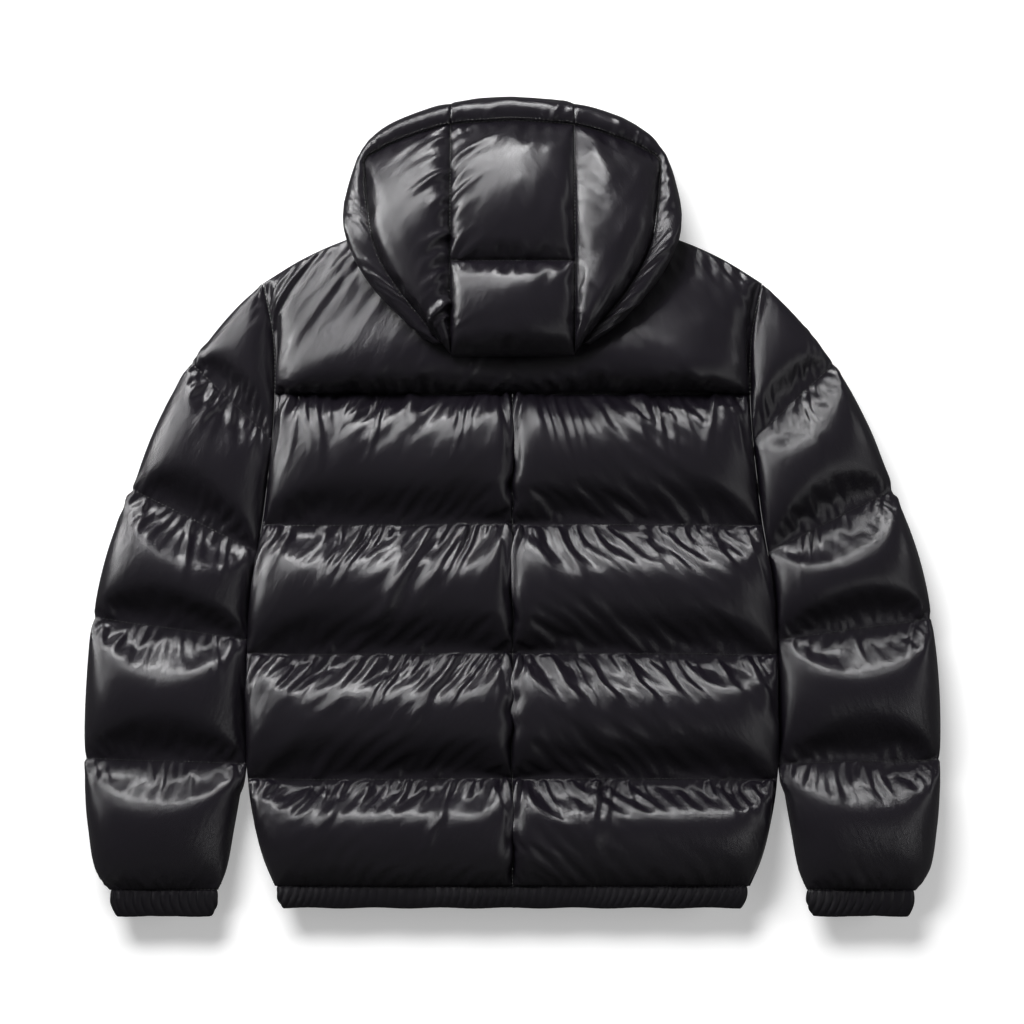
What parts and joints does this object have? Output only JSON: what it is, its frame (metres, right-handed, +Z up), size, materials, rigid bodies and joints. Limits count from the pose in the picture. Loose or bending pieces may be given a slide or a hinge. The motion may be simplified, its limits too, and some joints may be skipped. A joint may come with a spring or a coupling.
{
  "type": "hooded puffer jacket",
  "caption": "Black glossy hooded puffer jacket, zipped and laid flat on its front, with quilted channels, an open hood and gathered elastic cuffs and hem.",
  "frame": {"origin": "on the table plane, under the centre of the jacket's outline", "axes": "+X across the jacket towards its right sleeve as seen from above, +Y from the hem to the hood, +Z up from the table through the fronts to the back"},
  "size_m": [0.896, 0.8562, 0.1223],
  "materials": {
    "shell": "glossy black nylon, padded and quilted",
    "elastic_band": "black nylon gathered over elastic",
    "zip_tape": "matt black woven tape with a plastic coil",
    "zip_metal": "satin black enamel"
  },
  "bodies": {
    "jacket": {"back_right": "shell", "back_left": "shell", "back_yoke": "shell", "front_right": "shell", "front_left": "shell", "sleeve_right": "shell", "sleeve_left": "shell", "cuff_right": "elastic_band", "cuff_left": "elastic_band", "hem_band": "elastic_band", "brim_centre": "shell", "brim_right": "shell", "brim_left": "shell", "hood_crown": "shell", "hood_nape": "shell", "hood_side_right": "shell", "hood_side_left": "shell", "zip_tape_right": "zip_tape", "zip_tape_left": "zip_tape", "zip_slider": "zip_metal", "zip_bridge": "zip_metal"},
    "pull": {"zip_pull": "zip_metal"}
  },
  "joints": [
    {"name": "pull_hinge", "type": "hinge", "parent": "jacket", "child": "pull", "pos_m": [0, 0.2015, 0.02695], "axis": [1, 0, 0], "range_deg": [-90, 90]}
  ]
}
